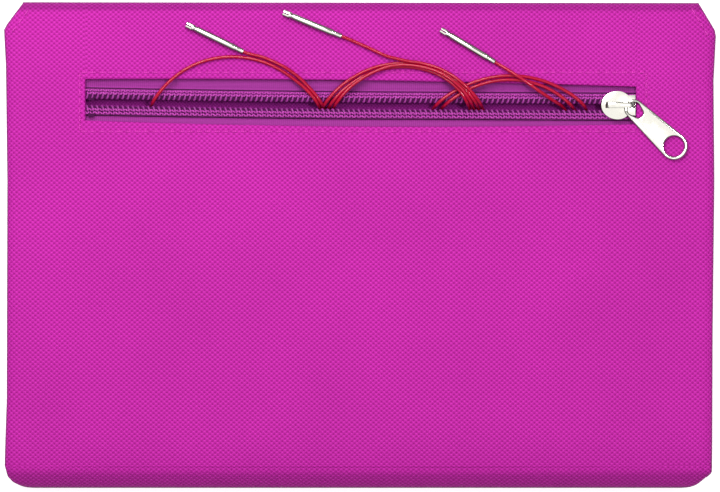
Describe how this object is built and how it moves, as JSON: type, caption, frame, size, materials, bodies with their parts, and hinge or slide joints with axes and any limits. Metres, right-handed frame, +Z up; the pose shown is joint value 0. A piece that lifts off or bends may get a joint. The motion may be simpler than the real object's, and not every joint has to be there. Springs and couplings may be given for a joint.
{
  "type": "interchangeable needle set",
  "caption": "Interchangeable knitting needle set: flat fabric case with a zip pocket for coiled cords and sewn channels for needle tips.",
  "frame": {"origin": "middle of the closed case's underside, where it rests", "axes": "+X along the case's long side, +Y towards the free edge that opens, +Z up out of the zip face"},
  "size_m": [0.25, 0.17, 0.0277],
  "materials": {
    "shell": "coarse plain weave polyester, slight sheen",
    "lining": "fine weave, matt",
    "board": "stiff board",
    "elastic": "ribbed elastic",
    "hook_and_loop": "hook and loop pile",
    "zip_tape": "twill zip tape",
    "zip_coil": "nylon monofilament",
    "nickel": "polished nickel plate",
    "cord": "clear red plastic",
    "tip_metal": "polished plate"
  },
  "bodies": {
    "front_half": {"front_cover": "shell", "front_board": "board", "front_lining": "lining", "needle_pocket": "lining", "needle_band": "elastic", "hook_tab_left": "hook_and_loop", "hook_tab_right": "hook_and_loop"},
    "spine": {"spine_cover": "shell", "spine_board": "board"},
    "back_half": {"back_cover": "shell", "back_board": "board", "back_lining": "lining", "pocket_lining": "lining", "loop_tab_left": "hook_and_loop", "loop_tab_right": "hook_and_loop", "zip_tape_upper": "zip_tape", "zip_tape_lower": "zip_tape", "zip_coil_upper": "zip_coil", "zip_coil_lower": "zip_coil", "zip_top_stop_upper": "zip_coil", "zip_top_stop_lower": "zip_coil", "zip_bottom_stop": "nickel", "left_cord_coil": "cord", "left_cord_tail": "cord", "left_cord_outer_connector": "nickel", "left_cord_inner_connector": "nickel", "middle_cord_coil": "cord", "middle_cord_tail": "cord", "middle_cord_outer_connector": "nickel", "middle_cord_inner_connector": "nickel", "right_cord_coil": "cord", "right_cord_tail": "cord", "right_cord_outer_connector": "nickel", "right_cord_inner_connector": "nickel"},
    "slider": {"slider_body": "nickel", "slider_bridge": "nickel", "slider_lock_spring": "nickel"},
    "pull": {"pull_tab": "nickel"},
    "tip_3_5_a": {"tip_3_5_a": "tip_metal"},
    "tip_3_5_b": {"tip_3_5_b": "tip_metal"},
    "tip_4_0_a": {"tip_4_0_a": "tip_metal"},
    "tip_4_0_b": {"tip_4_0_b": "tip_metal"},
    "tip_4_5_a": {"tip_4_5_a": "tip_metal"},
    "tip_4_5_b": {"tip_4_5_b": "tip_metal"},
    "tip_5_0_a": {"tip_5_0_a": "tip_metal"},
    "tip_5_0_b": {"tip_5_0_b": "tip_metal"},
    "tip_5_5_a": {"tip_5_5_a": "tip_metal"},
    "tip_5_5_b": {"tip_5_5_b": "tip_metal"},
    "tip_6_0_a": {"tip_6_0_a": "tip_metal"},
    "tip_6_0_b": {"tip_6_0_b": "tip_metal"},
    "tip_7_0_a": {"tip_7_0_a": "tip_metal"},
    "tip_7_0_b": {"tip_7_0_b": "tip_metal"},
    "tip_8_0_a": {"tip_8_0_a": "tip_metal"},
    "tip_8_0_b": {"tip_8_0_b": "tip_metal"}
  },
  "joints": [
    {"name": "spine_open", "type": "hinge", "parent": "front_half", "child": "spine", "pos_m": [0, -0.085, 0], "axis": [1, 0, 0], "range_deg": [0, 88]},
    {"name": "back_open", "type": "hinge", "parent": "spine", "child": "back_half", "pos_m": [0, -0.085, 0.0215], "axis": [1, 0, 0], "range_deg": [0, 88]},
    {"name": "slider_travel", "type": "slide", "parent": "back_half", "child": "slider", "axis": [1, 0, 0], "range_m": [-0.175, 0], "deforming": ["left_cord_coil", "middle_cord_coil", "right_cord_coil", "right_cord_tail"]},
    {"name": "pull_flip", "type": "hinge", "parent": "slider", "child": "pull", "pos_m": [0.0941, 0.0496, 0.02525], "axis": [-0.682, -0.7314, 0], "range_deg": [0, 105]},
    {"name": "tip_draw_3_5_a", "type": "slide", "parent": "front_half", "child": "tip_3_5_a", "axis": [0, 1, 0], "range_m": [0, 0.15]},
    {"name": "tip_draw_3_5_b", "type": "slide", "parent": "front_half", "child": "tip_3_5_b", "axis": [0, 1, 0], "range_m": [0, 0.15]},
    {"name": "tip_draw_4_0_a", "type": "slide", "parent": "front_half", "child": "tip_4_0_a", "axis": [0, 1, 0], "range_m": [0, 0.15]},
    {"name": "tip_draw_4_0_b", "type": "slide", "parent": "front_half", "child": "tip_4_0_b", "axis": [0, 1, 0], "range_m": [0, 0.15]},
    {"name": "tip_draw_4_5_a", "type": "slide", "parent": "front_half", "child": "tip_4_5_a", "axis": [0, 1, 0], "range_m": [0, 0.15]},
    {"name": "tip_draw_4_5_b", "type": "slide", "parent": "front_half", "child": "tip_4_5_b", "axis": [0, 1, 0], "range_m": [0, 0.15]},
    {"name": "tip_draw_5_0_a", "type": "slide", "parent": "front_half", "child": "tip_5_0_a", "axis": [0, 1, 0], "range_m": [0, 0.15]},
    {"name": "tip_draw_5_0_b", "type": "slide", "parent": "front_half", "child": "tip_5_0_b", "axis": [0, 1, 0], "range_m": [0, 0.15]},
    {"name": "tip_draw_5_5_a", "type": "slide", "parent": "front_half", "child": "tip_5_5_a", "axis": [0, 1, 0], "range_m": [0, 0.15]},
    {"name": "tip_draw_5_5_b", "type": "slide", "parent": "front_half", "child": "tip_5_5_b", "axis": [0, 1, 0], "range_m": [0, 0.15]},
    {"name": "tip_draw_6_0_a", "type": "slide", "parent": "front_half", "child": "tip_6_0_a", "axis": [0, 1, 0], "range_m": [0, 0.15]},
    {"name": "tip_draw_6_0_b", "type": "slide", "parent": "front_half", "child": "tip_6_0_b", "axis": [0, 1, 0], "range_m": [0, 0.15]},
    {"name": "tip_draw_7_0_a", "type": "slide", "parent": "front_half", "child": "tip_7_0_a", "axis": [0, 1, 0], "range_m": [0, 0.15]},
    {"name": "tip_draw_7_0_b", "type": "slide", "parent": "front_half", "child": "tip_7_0_b", "axis": [0, 1, 0], "range_m": [0, 0.15]},
    {"name": "tip_draw_8_0_a", "type": "slide", "parent": "front_half", "child": "tip_8_0_a", "axis": [0, 1, 0], "range_m": [0, 0.15]},
    {"name": "tip_draw_8_0_b", "type": "slide", "parent": "front_half", "child": "tip_8_0_b", "axis": [0, 1, 0], "range_m": [0, 0.15]}
  ],
  "couplings": [
    {"joint": "back_open", "follows": "spine_open", "ratio": 1}
  ]
}
